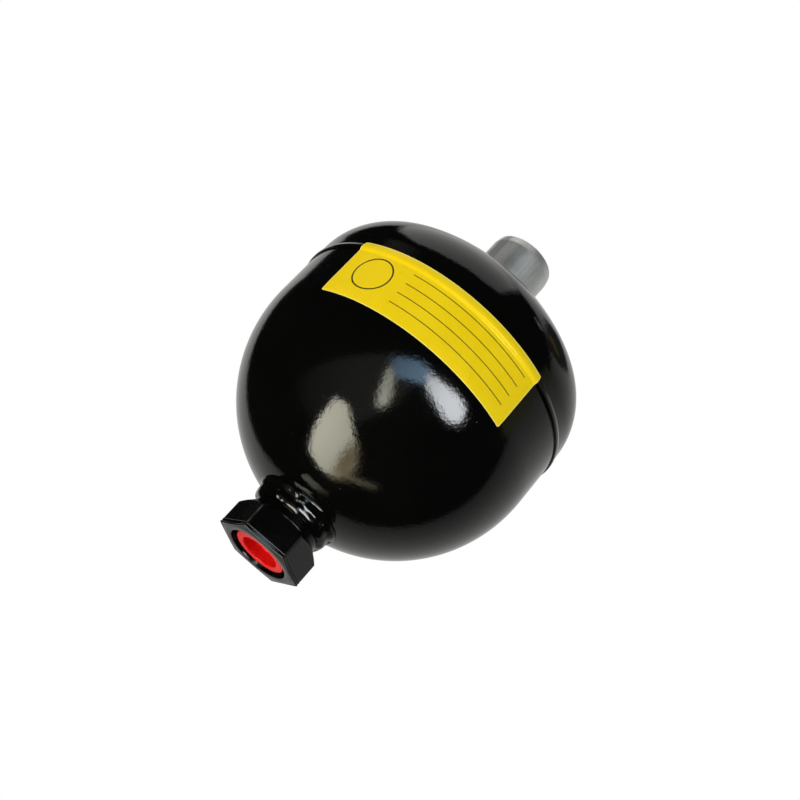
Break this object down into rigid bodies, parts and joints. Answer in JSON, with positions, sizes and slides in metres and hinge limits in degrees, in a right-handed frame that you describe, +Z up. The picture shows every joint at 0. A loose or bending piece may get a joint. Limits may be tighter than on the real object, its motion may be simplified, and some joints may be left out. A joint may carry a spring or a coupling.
{
  "type": "diaphragm accumulator",
  "caption": "Welded hydraulic accumulator: a rubber diaphragm parts oil from gas, with a hexagonal fluid port below and a gas valve under a screw cap on top.",
  "frame": {"origin": "centre of the fluid port's flat end face", "axes": "+Z up along the vessel's axis from the fluid port to the gas cap, -Y towards the label"},
  "size_m": [0.1412, 0.1414, 0.1933],
  "materials": {
    "shell_paint": "deep gloss black enamel",
    "port_paint": "thick gloss black enamel over a machined hexagon",
    "weld_paint": "gloss black enamel over weld beads",
    "cap_zinc": "turned and zinc plated",
    "boss_steel": "turned steel",
    "inner_steel": "plain turned steel",
    "plug_plastic": "red moulded plastic",
    "label_film": "yellow sticker film",
    "diaphragm_rubber": "black moulded rubber",
    "seal_rubber": "black rubber",
    "valve_brass": "turned brass",
    "pin_steel": "drawn wire"
  },
  "bodies": {
    "vessel": {"fluid_shell": "shell_paint", "gas_shell": "shell_paint", "seam_weld": "weld_paint", "clamp_ring": "inner_steel", "diaphragm": "diaphragm_rubber", "port_fitting": "port_paint", "port_weld": "weld_paint", "gas_boss": "boss_steel", "gas_boss_weld": "weld_paint", "valve_body": "valve_brass", "valve_body_seal": "seal_rubber", "core_barrel": "valve_brass", "core_seal": "seal_rubber", "valve_spring": "pin_steel", "cap_nut": "valve_brass", "cap_nut_seal": "seal_rubber", "label": "label_film"},
    "button": {"diaphragm_button": "inner_steel", "button_washer": "inner_steel"},
    "plug": {"port_plug": "plug_plastic"},
    "core_pin": {"valve_pin": "pin_steel", "pin_seal": "seal_rubber"},
    "cap_carrier": {"cap_gasket": "seal_rubber"},
    "cap": {"protective_cap": "cap_zinc"}
  },
  "joints": [
    {"name": "button_lift", "type": "slide", "parent": "vessel", "child": "button", "axis": [0, 0, 1], "range_m": [0, 0.097], "stiffness_N_per_m": 30, "deforming": ["diaphragm"]},
    {"name": "plug_pull", "type": "slide", "parent": "vessel", "child": "plug", "axis": [0, 0, -1], "range_m": [0, 0.06]},
    {"name": "valve_press", "type": "slide", "parent": "vessel", "child": "core_pin", "axis": [0, 0, -1], "range_m": [0, 0.0012], "stiffness_N_per_m": 1200, "deforming": ["valve_spring"]},
    {"name": "cap_lift", "type": "slide", "parent": "vessel", "child": "cap_carrier", "axis": [0, 0, 1], "range_m": [0, 0.0076]},
    {"name": "cap_turn", "type": "hinge", "parent": "cap_carrier", "child": "cap", "pos_m": [0, 0, 0.175], "axis": [0, 0, 1], "range_deg": [0, 1800]}
  ],
  "couplings": [
    {"joint": "cap_lift", "follows": "cap_turn", "m_per_rad": 0.00023873}
  ]
}
